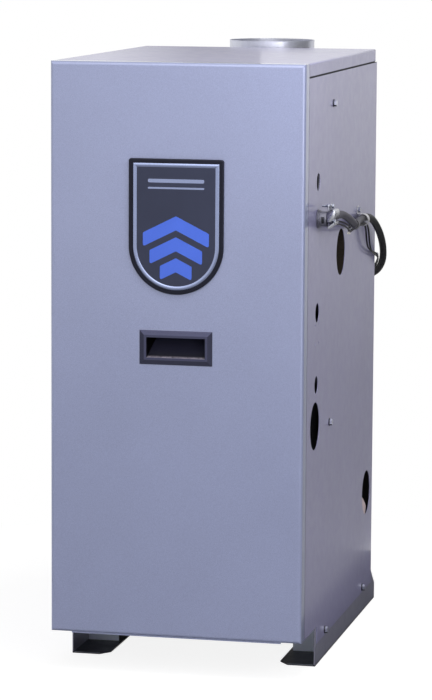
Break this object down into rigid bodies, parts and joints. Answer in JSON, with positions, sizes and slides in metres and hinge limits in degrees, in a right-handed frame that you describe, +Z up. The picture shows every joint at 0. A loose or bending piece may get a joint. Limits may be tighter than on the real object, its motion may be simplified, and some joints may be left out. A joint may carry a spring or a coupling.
{
  "type": "hot water boiler",
  "caption": "Floor-standing gas-fired cast-iron hot water boiler in a sheet-steel cabinet, with a pull-off front panel, side pipe and wiring holes and a rear flue collar.",
  "frame": {"origin": "on the floor, in the middle of the footprint of the boiler without its wiring", "axes": "+Z up, front panel faces -Y, pipe and wiring holes on the +X side"},
  "size_m": [0.4615, 0.832, 1.0035],
  "materials": {
    "door_paint": "blue-grey metallic baked paint",
    "cabinet_paint": "smooth grey metallic baked paint",
    "rail_paint": "grey baked paint",
    "pull_plastic": "moulded, fine grain",
    "badge_rim": "glossy moulded rim",
    "badge_plate": "printed satin plate",
    "zinc_steel": "bright zinc plate",
    "zinc_casting": "die-cast, as cast",
    "galvanised": "galvanised sheet",
    "glass_fibre": "black-faced glass-fibre board",
    "iron": "sand-cast",
    "plain_steel": "mill finish",
    "burner_steel": "aluminised steel",
    "ceramic_board": "fibre board",
    "brass": "machined",
    "pilot_aluminium": "bent tube",
    "valve_casting": "die-cast, as cast",
    "control_plastic": "moulded",
    "reset_red": "moulded",
    "control_paint": "grey paint",
    "harness_sheath": "dull vinyl sheath",
    "lead_sheath": "vinyl insulation",
    "plug_nylon": "moulded nylon"
  },
  "bodies": {
    "cabinet": {"top_panel": "cabinet_paint", "left_side_panel": "cabinet_paint", "right_side_panel": "cabinet_paint", "left_foot_rail": "rail_paint", "right_foot_rail": "rail_paint", "panel_clips": "zinc_steel", "cabinet_screws": "zinc_steel", "connector_screws": "zinc_steel", "connector_locknut": "zinc_steel", "clip_screw": "zinc_steel", "cable_clip": "zinc_steel", "connector_body": "zinc_casting", "connector_saddle": "zinc_casting", "rear_panel": "galvanised", "base_pan": "galvanised", "partition": "galvanised", "flue_collector": "galvanised", "draft_hood": "galvanised", "draft_hood_baffle": "galvanised", "flue_collar": "galvanised", "junction_box": "galvanised", "junction_cover": "galvanised", "side_insulation": "glass_fibre", "left_end_section": "iron", "left_middle_section": "iron", "right_middle_section": "iron", "right_end_section": "iron", "return_header": "iron", "gas_manifold": "iron", "manifold_riser": "iron", "push_nipples": "plain_steel", "tie_rods": "plain_steel", "burner_box": "burner_steel", "left_burner": "burner_steel", "centre_burner": "burner_steel", "right_burner": "burner_steel", "burner_access_panel": "burner_steel", "pilot_burner": "burner_steel", "base_liner": "ceramic_board", "gas_orifices": "brass", "pilot_tube": "pilot_aluminium", "gas_valve": "valve_casting", "rollout_switch": "control_plastic", "spill_switch": "control_plastic", "ignition_module": "control_plastic", "limit_control": "control_paint", "transformer": "control_paint", "damper_harness": "harness_sheath", "upper_lead": "lead_sheath", "lower_lead": "lead_sheath", "harness_plug": "plug_nylon"},
    "front_panel_body": {"front_panel": "door_paint", "door_pull": "pull_plastic", "badge_bezel": "badge_rim", "badge_face": "badge_plate", "panel_studs": "zinc_steel"},
    "gas_knob_body": {"gas_valve_knob": "control_plastic"},
    "limit_dial_body": {"limit_dial": "control_plastic"},
    "rollout_button_body": {"rollout_reset_button": "reset_red"},
    "spill_button_body": {"spill_reset_button": "reset_red"}
  },
  "joints": [
    {"name": "front_panel_slide", "type": "slide", "parent": "cabinet", "child": "front_panel_body", "axis": [0, -1, 0], "range_m": [0, 0.35]},
    {"name": "gas_knob_turn", "type": "hinge", "parent": "cabinet", "child": "gas_knob_body", "pos_m": [0.101, -0.3105, 0.445], "axis": [0, 0, 1], "range_deg": [0, 90]},
    {"name": "limit_dial_turn", "type": "hinge", "parent": "cabinet", "child": "limit_dial_body", "pos_m": [-0.105, -0.259, 0.71], "axis": [0, -1, 0], "range_deg": [-135, 135]},
    {"name": "rollout_reset_press", "type": "slide", "parent": "cabinet", "child": "rollout_button_body", "axis": [0, 1, 0], "range_m": [0, 0.002], "stiffness_N_per_m": 400},
    {"name": "spill_reset_press", "type": "slide", "parent": "cabinet", "child": "spill_button_body", "axis": [-1, 0, 0], "range_m": [0, 0.002], "stiffness_N_per_m": 400}
  ]
}
